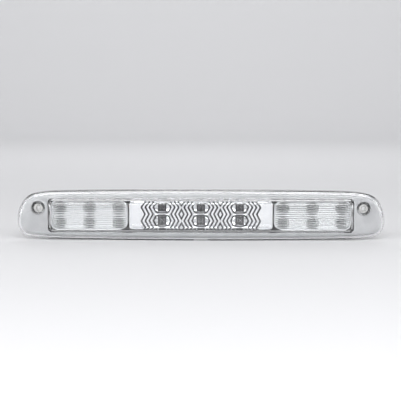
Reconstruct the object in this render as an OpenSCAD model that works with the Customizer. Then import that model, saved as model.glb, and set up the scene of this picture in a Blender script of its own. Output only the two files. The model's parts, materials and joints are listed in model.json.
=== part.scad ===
// Third brake light with two cargo lamps, for the back edge of a pickup cab.
// X runs along the lamp, +Z is up and -Y is the front, where the lens faces.
// The origin lies midway between the two mounting screws, on the mounting surface.
// Distances named front_... or passed to slab() count forwards from that surface.

/* [Overall] */
// Width of the lamp across its rounded ends
lamp_w = 432; // [380:1:520]
// Height of the lamp at its middle
lamp_h = 60; // [50:0.5:72]
// Drop of the widest point below the mid-height
widest_drop = 8; // [4:0.5:9]
// Angle that each long edge turns through before its shoulder
edge_turn = 1; // [0.2:0.1:1.4]
// Radius of the shoulders, where the long edges fall away
shoulder_r = 170; // [100:5:200]
// Radius of the upper corners
upper_corner_r = 24; // [16:1:28]
// Radius of the lower corners
lower_corner_r = 16; // [13:0.5:18]
// Half length of the upright stretch at each end
end_flat = 0.5; // [0.2:0.1:1.5]

/* [Mounting] */
// Distance from each end of the lamp to its mounting screw
screw_inset = 25; // [21:0.5:26]
// Height of the screws above the mid-height
screw_rise = 8; // [0:0.5:9]
// Bore of the sleeve that each mounting screw passes through
sleeve_bore_d = 5; // [4:0.1:6]
// Outside diameter of the sleeve
sleeve_d = 8; // [7.2:0.1:9.6]
// Diameter of the sleeve's shoulder
shoulder_d = 11; // [10:0.1:11.5]
// Thickness of the sleeve's shoulder
shoulder_t = 1; // [0.8:0.1:1.5]
// Thickness of the clamped gasket
gasket_t = 3; // [2:0.1:3.6]
// Distance from the lamp's outline to the gasket's edge
gasket_inset = 3.5; // [3:0.1:5]

/* [Lens] */
// Wall thickness of the lens
lens_t = 2.5; // [2:0.1:3]
// Gap between the mounting surface and the back of the lens skirt
skirt_gap = 1.5; // [1:0.1:2.4]
// Distance from the mounting surface to the front of the flange
front_flange = 15; // [14.5:0.1:18]
// How far the flange sweeps back at the ends
end_sweep = 3; // [0:0.1:3.2]
// Radius of the rolled edge between skirt and flange
roll_r = 5; // [4.5:0.1:5.5]
// Width of each end pod, from the lamp's end to the window
pod_w = 36.5; // [36:0.5:60]
// Height of the flange above and below the window
band_h = 9.5; // [9:0.1:11]
// Rise of the window above the flange
window_rise = 3.5; // [2.5:0.1:5]
// Extra rise of the window at its middle
window_crown = 1.5; // [0:0.1:3]
// Corner radius of the window
window_corner_r = 6; // [4:0.5:8]
// Inside diameter of the screw wells
well_d = 12; // [11.8:0.1:12.6]
// Wall thickness of the screw wells
well_t = 2; // [1.4:0.1:2.2]

/* [Bezel and housing] */
// Wall thickness of the bezel
bezel_t = 1.6; // [1.2:0.1:2]
// Width of the window's edge that the bezel shows inside
bezel_ledge = 1.5; // [1:0.1:2]
// Depth of the lip round the bezel's opening
bezel_lip = 3.4; // [2:0.1:3.6]
// Thickness of the housing's walls and flange
housing_t = 2; // [1.6:0.1:2.4]
// Depth of the housing behind the mounting surface
tub_d = 21; // [21:0.5:30]
// Width of the sealant bead
bead_w = 1.8; // [1.2:0.1:2]
// Height of the sealant bead
bead_h = 1.2; // [0.8:0.1:1.4]
// Distance from the middle to each vent plug
vent_x = 120; // [40:1:140]
// Diameter of the vent plug's stem
vent_d = 6; // [5:0.1:8]

/* [Chambers] */
// Width of the brake chamber
brake_w = 168; // [140:1:202]
// Gap between the chambers
chamber_gap = 2; // [1:0.1:4]
// Wall thickness of the reflectors
reflector_t = 1.5; // [1.2:0.1:2]
// Corner radius of the chambers
chamber_corner_r = 6; // [4:0.5:8]
// Columns of brake LEDs
brake_columns = 3; // [1:1:4]
// Distance between columns of brake LEDs
brake_pitch = 46; // [40:0.1:56]
// Side of the square opening for each brake LED
opening_w = 10; // [8.4:0.1:10.4]
// Half width of the first hexagon round a brake LED
hexagon_w = 10.3; // [9.8:0.1:12.4]
// Spacing of the stepped hexagons
step_w = 4.6; // [3.8:0.1:5.6]
// Height of each step
step_h = 1.4; // [1:0.1:1.7]
// Number of stepped hexagons round a brake LED
steps = 4; // [2:1:4]
// Columns of LEDs in each cargo lamp
cargo_columns = 3; // [2:1:4]
// Distance from a cargo chamber's ends to its outer LEDs
cargo_margin = 11; // [10:0.5:20]
// Mouth radius of the cups in the cargo reflector
cup_r = 7.8; // [6.5:0.1:8.4]
// Thickness of the fluted inner lens
inner_lens_t = 2; // [1.5:0.1:2.4]
// Spacing of the flutes
flute_pitch = 2.4; // [1.6:0.1:4]

/* [Electronics] */
// Side of an LED package
led_w = 7.6; // [6:0.1:8]
// Height of an LED package
led_h = 4.6; // [3.6:0.1:5.2]
// Thickness of the circuit boards
board_t = 1.6; // [1:0.1:2]
// Shank diameter of the board screws
screw_d = 2.8; // [2.2:0.1:3.4]
// Head diameter of the board screws
screw_head_d = 5.2; // [4.6:0.1:6.2]
// Inside width of the connector socket
socket_w = 21; // [18:0.1:26]
// Inside height of the connector socket
socket_h = 11; // [10.6:0.1:14]
// Depth of the connector socket
socket_d = 14; // [12:0.1:18]
// Number of connector terminals
terminals = 4; // [2:1:5]

/* [Hidden] */
$fn = 64;

// Clearances
slip = 0.4;         // pieces that drop into each other
fit = 0.15;         // pieces that locate each other
cut = 1;            // extra length of a cutting shape past a face

// Headings of the tangent points of a quarter outline, in degrees from its long edge
shoulder_turn = 10;
corner_turn = 60;
edge_steps = 4;
arc_steps = [3, 7, 5];

// Places along the front direction
front_housing = gasket_t + housing_t;       // front face of the housing's flange
front_inside = front_flange - lens_t;       // inside of the lens flange at the middle
front_floor = -4.5;                         // floor round the brake LEDs
front_cup = -6;                             // back of the cargo reflector's floor
front_board = front_floor - 0.9 - led_h;    // front face of the boards
back_board = front_board - board_t;         // component side of the boards
back_tub = -tub_d;                          // outside of the housing's back wall
front_well = front_housing + housing_t;     // floor that the sleeve's shoulder sits on
front_pod = front_flange - sweep(lamp_w / 2 - screw_inset);         // flange at the screws

// Places across the lamp
mid_z = -screw_rise;                        // mid-height of the lamp
widest_z = mid_z - widest_drop;             // height of the widest point
screw_x = lamp_w / 2 - screw_inset;
window_w = lamp_w - 2 * pod_w;
window_h = lamp_h - 2 * band_h;
bay_w = window_w - 2 * bezel_ledge;         // opening of the bezel and of the housing
bay_h = window_h - 2 * bezel_ledge;
bay_corner_r = window_corner_r - bezel_ledge;
chamber_h = bay_h - 2 * slip;               // outside height of the reflectors
cargo_w = (bay_w - 2 * slip - brake_w) / 2 - chamber_gap;
cargo_x = brake_w / 2 + chamber_gap + cargo_w / 2;
bezel_inset = lens_t + bead_w + slip;       // outline to the bezel's outer wall
front_rim = front_inside - sweep(brake_w / 2) - 2 * slip;           // brake chamber's edge
front_cargo_rim = front_inside - end_sweep - inner_lens_t - slip;   // cargo chambers' edge

// Brake reflector
face_margin = 1.2;                          // plain strip above and below the hexagons
face_h = chamber_h - 2 * reflector_t;
brake_rows = 2;
row_pitch = (face_h - 2 * face_margin) / brake_rows;
hexagon_slope = 62;                         // steepness of the hexagons' sides
front_plateau = front_floor + steps * step_h;

// Cargo reflector
cargo_pitch = (cargo_w - 2 * cargo_margin) / (cargo_columns - 1);
cargo_row = face_h / 2 - cup_r - 0.1;       // height of each cargo row from the middle
cup_foot_r = led_w * sqrt(2) / 2 + 0.3;

// Pegs that lock the bezel, the reflectors' ears and the housing together
peg_r = 1;
peg_shoulder_r = 1.5;
peg_z = bay_h / 2 + peg_shoulder_r + 0.1;   // height of the pegs from the middle
ear_w = 9;
ear_t = 1.6;
ear_tip = peg_z + peg_r + 0.4;              // height of the ears' ends from the middle
bezel_inside = lamp_outline(bezel_inset + bezel_t + fit);
ear_limit = min(reach(bezel_inside, mid_z + ear_tip), reach(bezel_inside, mid_z - ear_tip));
peg_places = [brake_w * 0.36, cargo_x - cargo_w * 0.28,
    min(cargo_x + cargo_w * 0.28, ear_limit - ear_w / 2)];

// Board screws: the first list serves the brake board, the second the cargo boards
brake_screw_x = [brake_pitch / 2, brake_w / 2 - 7];
cargo_screw_x = [cargo_x - cargo_pitch / 2, cargo_x + cargo_pitch / 2];
screw_l = 7;
screw_head_h = 1.8;
boss_r = screw_d / 2 + 1.3;

// Two-way jumper sockets on the facing ends of the boards, beside the screw heads
jumper_w = 5;
jumper_h = 7;
socket_pairs = [brake_w / 2 - 6, cargo_x - cargo_w / 2 + 6];
jumper_z = max(face_h * 0.25, screw_head_d / 2 + jumper_h / 2 + slip);

// Connector
shroud_t = 1.6;
socket_corner_r = 1.5;
header_flange = 3;                          // width of the header's flange
seal_t = 1;
front_socket = back_tub - 1;                // floor of the socket
terminal_w = 1.5;
terminal_t = 0.8;
terminal_pitch = 4.6;
terminal_places = [for (i = [0:terminals - 1]) (i - (terminals - 1) / 2) * terminal_pitch];

// ---- Outlines ----

function arc_runs(radii, turns) =
    [for (k = [0:2]) radii[k] * (sin(turns[k + 1]) - sin(turns[k]))];
function arc_drops(radii, turns) =
    [for (k = [0:2]) radii[k] * (cos(turns[k]) - cos(turns[k + 1]))];
function total(values, count) = count == 0 ? 0 : values[count - 1] + total(values, count - 1);

// Quarter outline from the middle of its long edge to its upright end, as tangent arcs.
// Each point is [across, up, heading]; radii are those of shoulder, corner and side.
function quarter(half_w, half_h, turn, radii) =
    let (turns = [turn, shoulder_turn, corner_turn, 90],
         runs = arc_runs(radii, turns),
         drops = arc_drops(radii, turns),
         edge = half_w - total(runs, 3),
         fall = edge * tan(turn / 2))
    concat(
        [for (i = [0:edge_steps - 1]) let (u = i / edge_steps)
            [edge * u, half_h - fall * u * u, turn * u]],
        [for (k = [0:2], i = [0:arc_steps[k] - 1])
            let (a = turns[k] + (turns[k + 1] - turns[k]) * i / arc_steps[k])
            [edge + total(runs, k) + radii[k] * (sin(a) - sin(turns[k])),
             half_h - fall - total(drops, k) - radii[k] * (cos(turns[k]) - cos(a)), a]],
        [[half_w, half_h - fall - total(drops, 3), 90]]);

// Side radius that brings a quarter of the lamp's outline down to its upright end
function side_r(half_h, corner_r) =
    let (t = tan(edge_turn / 2),
         turns = [edge_turn, shoulder_turn, corner_turn, 90],
         radii = [shoulder_r, corner_r, 0],
         across = lamp_w / 2 - total(arc_runs(radii, turns), 3),
         down = half_h - end_flat - total(arc_drops(radii, turns), 3))
    (down - across * t) / (cos(corner_turn) - t * (1 - sin(corner_turn)));

function lamp_quarter(half_h, corner_r) =
    quarter(lamp_w / 2, half_h, edge_turn, [shoulder_r, corner_r, side_r(half_h, corner_r)]);

// Closed outline, clockwise from its top, from an upper and a lower quarter
function outline(upper, lower, inset, z) =
    let (in = function (q) [for (p = q) [p[0] - inset * sin(p[2]), p[1] - inset * cos(p[2])]],
         u = in(upper), l = in(lower), n = len(u))
    concat(
        [for (p = u) [p[0], z + p[1]]],
        [for (i = [1:n]) [l[n - i][0], z - l[n - i][1]]],
        [for (i = [1:n - 1]) [-l[i][0], z - l[i][1]]],
        [for (i = [1:n - 1]) [-u[n - i][0], z + u[n - i][1]]]);

// Outline of the lamp, moved inwards
function lamp_outline(inset) =
    outline(lamp_quarter(lamp_h / 2 + widest_drop, upper_corner_r),
            lamp_quarter(lamp_h / 2 - widest_drop, lower_corner_r), inset, widest_z);

// Farthest distance from the middle at which an outline still has a height
function reach(points, z) =
    max([for (i = [1:len(points) - 1]) let (a = points[i - 1], b = points[i])
        if ((a[1] - z) * (b[1] - z) < 0) a[0] + (b[0] - a[0]) * (z - a[1]) / (b[1] - a[1])]);

// Outline of the window, made smaller on every side
function window_outline(inset) =
    let (r = max(window_corner_r - inset, 1),
         q = quarter(window_w / 2 - inset, window_h / 2 - inset, 0, [r, r, r]))
    outline(q, q, 0, mid_z);

// How far the front sweeps back at a distance from the middle
function sweep(x) = end_sweep * pow(2 * x / lamp_w, 2);

// An outline placed at a distance in front of the mounting surface
function ring(points, front, swept = true) =
    [for (p = points) [p[0], (swept ? sweep(p[0]) : 0) - front, p[1]]];

// ---- Shapes ----

// Front-view outline extruded between two distances in front of the mounting surface
module slab(from, to) {
    rotate([90, 0, 0]) translate([0, 0, from]) linear_extrude(to - from) children();
}

// Round bar along the front direction
module bar(from, to, r, x, z) {
    slab(from, to) translate([x, z]) circle(r);
}

module lamp_shape(inset) {
    polygon(lamp_outline(inset));
}

// Rounded rectangle centred at x on the lamp's mid-height
module rounded(w, h, r, x = 0) {
    translate([x, mid_z]) {
        square([w - 2 * r, h], center = true);
        square([w, h - 2 * r], center = true);
        for (i = [-1, 1], j = [-1, 1])
            translate([i * (w / 2 - r), j * (h / 2 - r)]) circle(r);
    }
}

// Rectangle centred at x and at a height from the lamp's mid-height
module block(from, to, w, h, x, z) {
    slab(from, to) translate([x, mid_z + z]) square([w, h], center = true);
}

// Skin through a list of rings; loop joins the last ring to the first
module skin(rings, loop = false) {
    n = len(rings[0]);
    count = len(rings);
    spans = loop ? count : count - 1;
    sides = [for (k = [0:spans - 1], i = [0:n - 1])
        let (a = k * n, b = (k + 1) % count * n, j = (i + 1) % n)
        each [[a + i, b + j, b + i], [a + i, a + j, b + j]]];
    caps = loop ? [] : [[for (i = [1:n]) n - i], [for (i = [0:n - 1]) (count - 1) * n + i]];
    polyhedron([for (r = rings) each r], concat(sides, caps), convexity = 6);
}

// Mirrors its children to the left side where side is -1
module scale_side(side) {
    mirror([side < 0 ? 1 : 0, 0, 0]) children();
}

// ---- Lens, bezel and seals ----

// Rings of the lens at a distance inside its outer surface, from skirt to window
function lens_rings(depth) =
    let (edge = 2)
    concat(
        [ring(lamp_outline(depth), skirt_gap, false)],
        [for (a = [0:18:90]) ring(lamp_outline(roll_r - (roll_r - depth) * cos(a)),
            front_flange - roll_r + (roll_r - depth) * sin(a))],
        [for (p = [[0, 0], [0.4, window_rise - 1.2], [0.9, window_rise - 0.4],
                   [edge, window_rise], [8, window_rise + 0.7 * window_crown],
                   [window_h / 2 - 4, window_rise + window_crown]])
            ring(window_outline(max(p[0], min(p[0] + depth, window_h / 2 - 3))),
                front_flange + p[1] - depth)]);

module outer_lens() {
    inner = lens_rings(lens_t);
    outer = lens_rings(0);
    count = len(inner);
    color([0.86, 0.89, 0.91, 0.45]) difference() {
        union() {
            skin(concat([for (k = [1:count]) inner[count - k]], outer));
            for (x = [-screw_x, screw_x])
                bar(front_housing, front_pod - lens_t / 2, well_d / 2 + well_t, x, 0);
        }
        for (x = [-screw_x, screw_x]) {
            bar(front_well, front_flange + cut, well_d / 2, x, 0);
            bar(front_housing - cut, front_well + cut, sleeve_d / 2 + fit, x, 0);
        }
    }
}

module flange_bezel() {
    depth = lens_t + slip;
    top = front_flange - depth;
    back = top - bezel_t;
    opening = bezel_ledge;
    color("gainsboro") difference() {
        union() {
            skin([
                ring(lamp_outline(bezel_inset), front_housing, false),
                ring(lamp_outline(bezel_inset), top - 0.7),
                ring(lamp_outline(bezel_inset + 0.7), top),
                ring(window_outline(opening), top),
                ring(window_outline(opening), top - bezel_lip),
                ring(window_outline(opening - bezel_t), top - bezel_lip),
                ring(window_outline(opening - bezel_t), back),
                ring(lamp_outline(bezel_inset + bezel_t), back),
                ring(lamp_outline(bezel_inset + bezel_t), front_housing, false)], true);
            for (x = peg_places, i = [-1, 1], j = [-1, 1]) {
                tip = front_housing - housing_t / 2;
                bar(tip, front_housing + ear_t, peg_r, i * x, mid_z + j * peg_z);
                bar(front_housing + ear_t, back - sweep(x) + bezel_t / 2, peg_shoulder_r,
                    i * x, mid_z + j * peg_z);
            }
        }
        for (x = [-screw_x, screw_x])
            bar(front_housing - cut, front_flange, well_d / 2 + well_t + slip, x, 0);
    }
}

module lens_seal() {
    color("dimgray") slab(front_housing, front_housing + bead_h) difference() {
        lamp_shape(lens_t);
        lamp_shape(lens_t + bead_w);
    }
}

module mounting_gasket() {
    color("#2b2b2d") slab(0, gasket_t) difference() {
        lamp_shape(gasket_inset);
        rounded(bay_w + 2 * housing_t + 2 * slip, bay_h + 2 * housing_t + 2 * slip,
            bay_corner_r + housing_t + slip);
        for (x = [-screw_x, screw_x]) translate([x, 0]) circle(sleeve_d / 2 + slip);
    }
}

module screw_sleeves() {
    color("silver") for (x = [-screw_x, screw_x]) difference() {
        union() {
            bar(0, front_well, sleeve_d / 2, x, 0);
            bar(front_well, front_well + shoulder_t, shoulder_d / 2, x, 0);
        }
        bar(-cut, front_well + shoulder_t + cut, sleeve_bore_d / 2, x, 0);
    }
}

// ---- Housing ----

module rear_housing() {
    color("#18181a") difference() {
        union() {
            slab(gasket_t, front_housing) lamp_shape(lens_t + slip);
            slab(back_tub, front_housing)
                rounded(bay_w + 2 * housing_t, bay_h + 2 * housing_t, bay_corner_r + housing_t);
            housing_ribs();
            for (x = [-vent_x, vent_x]) bar(back_tub - 1, back_tub + 1, vent_d / 2 + 2.5, x, mid_z);
        }
        slab(back_tub + housing_t, front_housing + cut) rounded(bay_w, bay_h, bay_corner_r);
        slab(back_tub - 2 * cut, back_tub + housing_t + cut)
            rounded(socket_w + 2 * shroud_t + 2 * fit, socket_h + 2 * shroud_t + 2 * fit,
                socket_corner_r + shroud_t);
        for (x = [-vent_x, vent_x])
            bar(back_tub - 2 * cut, back_tub + housing_t + cut, vent_d / 2 + fit, x, mid_z);
        for (x = [-screw_x, screw_x])
            bar(0, front_housing + cut, sleeve_d / 2 + fit, x, 0);
        for (x = peg_places, i = [-1, 1], j = [-1, 1])
            bar(front_housing - housing_t / 2 - fit, front_housing + cut, peg_r + fit,
                i * x, mid_z + j * peg_z);
    }
}

// Shallow ribs on the back wall: one frame round the connector and bars along the tub
module housing_ribs() {
    rib_t = 1.6;
    rib_h = 1;
    for (j = [-1, 1])
        block(back_tub - rib_h, back_tub + rib_h, bay_w - 30, rib_t, 0, j * bay_h * 0.38);
    for (x = [-0.42, -0.28, -0.14, 0.14, 0.28, 0.42] * bay_w)
        block(back_tub - rib_h, back_tub + rib_h, rib_t, bay_h * 0.76, x, 0);
}

// ---- Reflectors and inner lenses ----

// Ears with peg holes, above and below a reflector
module ears(places) {
    for (x = places, j = [-1, 1]) difference() {
        block(front_housing, front_housing + ear_t, ear_w, ear_tip - chamber_h / 2 + 0.5, x,
            j * (ear_tip + chamber_h / 2 - 0.5) / 2);
        bar(front_housing - cut, front_housing + ear_t + cut, peg_r + fit, x,
            mid_z + j * peg_z);
    }
}

// Hexagon with its points to the left and right, cut to the height of one row
module hexagon(half_w, h) {
    flat = half_w - h / 2 / tan(hexagon_slope);
    polygon([[half_w, 0], [flat, -h / 2], [-flat, -h / 2],
             [-half_w, 0], [-flat, h / 2], [flat, h / 2]]);
}

// Places its children at every brake LED
module at_brake_leds() {
    for (i = [0:brake_columns - 1], j = [0:brake_rows - 1])
        translate([(i - (brake_columns - 1) / 2) * brake_pitch,
                   mid_z + (j - (brake_rows - 1) / 2) * row_pitch]) children();
}

module brake_reflector() {
    places = [-peg_places[0], peg_places[0]];
    bosses = concat(brake_screw_x, -brake_screw_x);
    inner_r = chamber_corner_r - reflector_t;
    color("#e8eaec") difference() {
        union() {
            difference() {
                slab(front_floor - reflector_t, front_rim) rounded(brake_w, chamber_h,
                    chamber_corner_r);
                slab(front_plateau, front_rim + cut)
                    rounded(brake_w - 2 * reflector_t, face_h, inner_r);
                for (k = [0:steps - 1])
                    slab(front_floor + k * step_h, front_plateau + cut) at_brake_leds()
                        hexagon(hexagon_w + k * step_w, row_pitch);
                for (k = [0:steps - 1])
                    slab(front_floor - reflector_t - cut, front_floor + (k + 1) * step_h - reflector_t)
                        difference() {
                            rounded(brake_w - 2 * reflector_t, face_h, inner_r);
                            at_brake_leds() hexagon(hexagon_w + k * step_w + 0.8, row_pitch);
                        }
            }
            ears(places);
            for (x = bosses)
                bar(front_board, front_plateau - reflector_t / 2, boss_r, x, mid_z);
        }
        slab(front_floor - reflector_t - cut, front_floor + cut) at_brake_leds()
            square(opening_w, center = true);
        for (x = bosses)
            bar(front_board - cut, back_board + screw_l + fit, screw_d / 2 + fit, x, mid_z);
    }
}

// Places its children at every LED of the right cargo lamp
module at_cargo_leds() {
    for (i = [0:cargo_columns - 1], j = [-1, 1])
        translate([cargo_x + (i - (cargo_columns - 1) / 2) * cargo_pitch,
                   mid_z + j * cargo_row]) children();
}

module cargo_reflector() {
    front_tray = front_cup + 4.5;
    color("#dfe2e4") difference() {
        union() {
            slab(front_cup, front_cargo_rim) rounded(cargo_w, chamber_h, chamber_corner_r, cargo_x);
            ears([peg_places[1], peg_places[2]]);
            for (x = cargo_screw_x) bar(front_board, front_cup + 1, boss_r, x, mid_z);
        }
        slab(front_tray, front_cargo_rim + cut) rounded(cargo_w - 2 * reflector_t, face_h,
            chamber_corner_r - reflector_t, cargo_x);
        rotate([90, 0, 0]) at_cargo_leds() translate([0, 0, front_cup])
            cylinder(h = 4.5, r1 = cup_foot_r, r2 = cup_r);
        rotate([90, 0, 0]) at_cargo_leds() translate([0, 0, front_cup - cut])
            cylinder(h = cut + 0.1, r = cup_foot_r);
        for (x = cargo_screw_x)
            bar(front_board - cut, back_board + screw_l + fit, screw_d / 2 + fit, x, mid_z);
    }
}

module cargo_reflector_right() {
    cargo_reflector();
}

module cargo_reflector_left() {
    scale_side(-1) cargo_reflector();
}

// Clear plate with half-round flutes on its back, which lies on the cargo reflector's rim
module cargo_inner_lens() {
    flute_r = flute_pitch * 0.6;
    fluted_w = cargo_w - 2 * reflector_t - 2 * chamber_corner_r;
    flutes = floor((face_h - 2 * slip - 2 * flute_r) / flute_pitch / 2);
    color([0.9, 0.92, 0.94, 0.5]) union() {
        slab(front_cargo_rim, front_cargo_rim + inner_lens_t)
            rounded(cargo_w - 2 * fit, chamber_h - 2 * fit, chamber_corner_r - fit, cargo_x);
        translate([cargo_x - fluted_w / 2, 0, mid_z]) rotate([90, 0, 90])
            linear_extrude(fluted_w) for (i = [-flutes:flutes])
                translate([-front_cargo_rim - 0.6, i * flute_pitch]) circle(flute_r);
    }
}

module cargo_inner_lens_right() {
    cargo_inner_lens();
}

module cargo_inner_lens_left() {
    scale_side(-1) cargo_inner_lens();
}

// ---- Boards, LEDs and electronics ----

module brake_led_board() {
    color("#1f5b3a") slab(back_board, front_board) difference() {
        rounded(brake_w - 4, face_h - 1, 2);
        for (x = concat(brake_screw_x, -brake_screw_x))
            translate([x, mid_z]) circle(screw_d / 2 + slip);
        for (x = terminal_places) translate([x, mid_z])
            square([terminal_w + fit, terminal_t + fit], center = true);
    }
}

module cargo_led_board() {
    color("#1f5b3a") slab(back_board, front_board) difference() {
        rounded(cargo_w - 4, face_h - 1, 2, cargo_x);
        for (x = cargo_screw_x) translate([x, mid_z]) circle(screw_d / 2 + slip);
    }
}

module cargo_led_board_right() {
    cargo_led_board();
}

module cargo_led_board_left() {
    scale_side(-1) cargo_led_board();
}

// Square clear package with a low dome, standing on the board
module led() {
    dome_r = led_w * 0.32;
    rotate([90, 0, 0]) {
        translate([-led_w / 2, -led_w / 2, 0]) cube([led_w, led_w, led_h]);
        translate([0, 0, led_h - dome_r * 0.4]) sphere(dome_r);
    }
}

module brake_leds() {
    color([0.35, 0.36, 0.38]) for (i = [0:brake_columns - 1], j = [0:brake_rows - 1])
        translate([(i - (brake_columns - 1) / 2) * brake_pitch, -front_board,
                   mid_z + (j - (brake_rows - 1) / 2) * row_pitch]) led();
}

module cargo_leds() {
    color([0.9, 0.88, 0.7]) for (i = [0:cargo_columns - 1], j = [-1, 1])
        translate([cargo_x + (i - (cargo_columns - 1) / 2) * cargo_pitch, -front_board,
                   mid_z + j * cargo_row]) led();
}

module cargo_leds_right() {
    cargo_leds();
}

module cargo_leds_left() {
    scale_side(-1) cargo_leds();
}

// Box-shaped component of width w, height h and thickness t on the boards' back
module chip(w, h, t, x, z) {
    block(back_board - t, back_board, w, h, x, z);
}

module brake_resistors() {
    color("#222222") for (side = [-1, 1], i = [0:2])
        chip(3.2, 6.3, 0.7, side * (brake_w * 0.3 + (i - 1) * 6), -face_h * 0.25);
}

module cargo_resistors() {
    color("#222222") for (side = [-1, 1], i = [0:1])
        chip(3.2, 6.3, 0.7, side * (cargo_x - 3 + i * 6), -face_h * 0.25);
}

module protection_diodes() {
    color("#303030") for (side = [-1, 1])
        chip(7, 5.6, 2.3, side * (socket_w / 2 + 12), face_h * 0.3);
}

module current_regulator() {
    color("#262626") {
        chip(6.6, 6.1, 2.3, brake_w * 0.36, face_h * 0.25);
        chip(5.4, 8.4, 0.6, brake_w * 0.36, face_h * 0.25 + 1);
    }
}

module surge_capacitor() {
    color("lightgray") bar(back_board - 5.6, back_board, 3.3, -brake_w * 0.36,
        mid_z + face_h * 0.25);
}

// Pan-head screw with a cross recess, driven forwards from behind the boards
module board_screw(x) {
    difference() {
        union() {
            bar(back_board, back_board + screw_l, screw_d / 2, x, mid_z);
            bar(back_board - screw_head_h, back_board, screw_head_d / 2, x, mid_z);
        }
        for (s = [[3, 0.7], [0.7, 3]])
            block(back_board - screw_head_h - cut, back_board - screw_head_h + 1, s[0], s[1], x, 0);
    }
}

module board_screws() {
    color("silver") for (x = concat(brake_screw_x, cargo_screw_x), side = [-1, 1])
        board_screw(side * x);
}

module jumper_sockets() {
    color("ivory") for (x = socket_pairs, side = [-1, 1])
        chip(jumper_w, jumper_h, jumper_w, side * x, jumper_z);
}

// Two short wires from the brake board's socket to the cargo board's
module jumper_lead() {
    wire_r = 0.8;
    color("firebrick") for (j = [-1, 1])
        translate([socket_pairs[0] + jumper_w / 2, -back_board + jumper_w / 2,
                   mid_z + jumper_z + j * 1.5])
            rotate([0, 90, 0])
                cylinder(h = socket_pairs[1] - socket_pairs[0] - jumper_w, r = wire_r);
}

module jumper_lead_right() {
    jumper_lead();
}

module jumper_lead_left() {
    scale_side(-1) jumper_lead();
}

// ---- Connector and vents ----

module connector_header() {
    front_flange_face = back_tub + housing_t + seal_t + 1.6;
    color("#1c1c1e") difference() {
        union() {
            slab(back_tub - socket_d - 1, front_flange_face)
                rounded(socket_w + 2 * shroud_t, socket_h + 2 * shroud_t,
                    socket_corner_r + shroud_t - fit);
            slab(back_tub + housing_t + seal_t, front_flange_face)
                rounded(socket_w + 2 * shroud_t + 2 * header_flange,
                    socket_h + 2 * shroud_t + 2 * header_flange, 3);
            block(back_tub - socket_d + 3, back_tub - socket_d + 6, 7, 1.4, 0,
                socket_h / 2 + shroud_t + 0.6);
        }
        slab(back_tub - socket_d - 1 - cut, front_socket)
            rounded(socket_w, socket_h, socket_corner_r);
        for (x = terminal_places)
            block(front_socket - cut, front_flange_face + cut, terminal_w, terminal_t, x, 0);
    }
}

module connector_seal() {
    color("#7a3b2e") slab(back_tub + housing_t, back_tub + housing_t + seal_t) difference() {
        rounded(socket_w + 2 * shroud_t + 2 * header_flange - 1,
            socket_h + 2 * shroud_t + 2 * header_flange - 1, 3);
        rounded(socket_w + 2 * shroud_t + 2 * fit, socket_h + 2 * shroud_t + 2 * fit,
            socket_corner_r + shroud_t);
    }
}

module connector_terminals() {
    color("gold") for (x = terminal_places)
        block(back_tub - socket_d + 3, front_board + 1, terminal_w, terminal_t, x, 0);
}

// Rubber plug with a cap outside, a groove over the wall and a small breather hole
module vent_plug(x) {
    back_seat = back_tub - 1;
    difference() {
        union() {
            bar(back_seat - 1.6, back_seat, vent_d / 2 + 2, x, mid_z);
            bar(back_seat, back_tub + housing_t, vent_d / 2, x, mid_z);
            bar(back_tub + housing_t, back_tub + housing_t + 1.2, vent_d / 2 + 0.8, x, mid_z);
        }
        bar(back_seat - 2 * cut, back_tub + housing_t + 2 * cut, 0.75, x, mid_z);
    }
}

module vent_plugs() {
    color("#3a3a3c") for (x = [-vent_x, vent_x]) vent_plug(x);
}

outer_lens();
flange_bezel();
lens_seal();
rear_housing();
mounting_gasket();
screw_sleeves();
brake_reflector();
brake_led_board();
brake_leds();
cargo_reflector_left();
cargo_reflector_right();
cargo_inner_lens_left();
cargo_inner_lens_right();
cargo_led_board_left();
cargo_led_board_right();
cargo_leds_left();
cargo_leds_right();
brake_resistors();
cargo_resistors();
protection_diodes();
current_regulator();
surge_capacitor();
board_screws();
jumper_sockets();
jumper_lead_left();
jumper_lead_right();
connector_header();
connector_seal();
connector_terminals();
vent_plugs();
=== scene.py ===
# %% [markdown]
# # A third brake light, finished in Blender
#
# The lamp is a long clear lens over a pale trim, with a chrome brake chamber in the middle, a
# cargo lamp on each side, and a black housing behind. The CAD model is loaded as a fixed frame. X
# runs along the lamp, +Z is up and the lens faces -Y. Blender counts in metres, so `MM` turns
# millimetres into them.

# %% Load the frame
import json
import math

import bmesh
import bpy
from mathutils import Matrix, Vector


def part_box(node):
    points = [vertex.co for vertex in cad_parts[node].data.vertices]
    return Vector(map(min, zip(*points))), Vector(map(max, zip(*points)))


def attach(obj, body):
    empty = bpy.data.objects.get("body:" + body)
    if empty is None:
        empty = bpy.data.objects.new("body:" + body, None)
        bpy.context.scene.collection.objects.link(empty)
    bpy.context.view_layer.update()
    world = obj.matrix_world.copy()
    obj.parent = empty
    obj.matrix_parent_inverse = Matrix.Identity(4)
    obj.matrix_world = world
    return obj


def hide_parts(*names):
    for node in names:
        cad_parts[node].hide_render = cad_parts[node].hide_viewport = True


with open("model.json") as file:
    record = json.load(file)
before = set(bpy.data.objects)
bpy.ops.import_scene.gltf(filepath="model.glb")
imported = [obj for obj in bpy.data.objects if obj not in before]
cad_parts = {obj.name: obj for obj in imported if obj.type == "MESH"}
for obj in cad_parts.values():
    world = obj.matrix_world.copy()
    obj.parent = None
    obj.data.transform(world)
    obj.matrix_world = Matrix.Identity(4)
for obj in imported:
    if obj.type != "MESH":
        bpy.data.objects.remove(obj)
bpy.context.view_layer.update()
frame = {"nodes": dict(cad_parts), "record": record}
NODES = frame["nodes"]
MM = 0.001

# %% [markdown]
# ## Sizes that the pieces share
#
# The lamp's size, its mid-height and the screws' places come from the CAD nodes' boxes. Other
# lengths, here and in later cells, are design values in millimetres. "Front" distances count
# forwards from the mounting surface, so a front of 15 lies at y = -15 mm.

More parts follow.
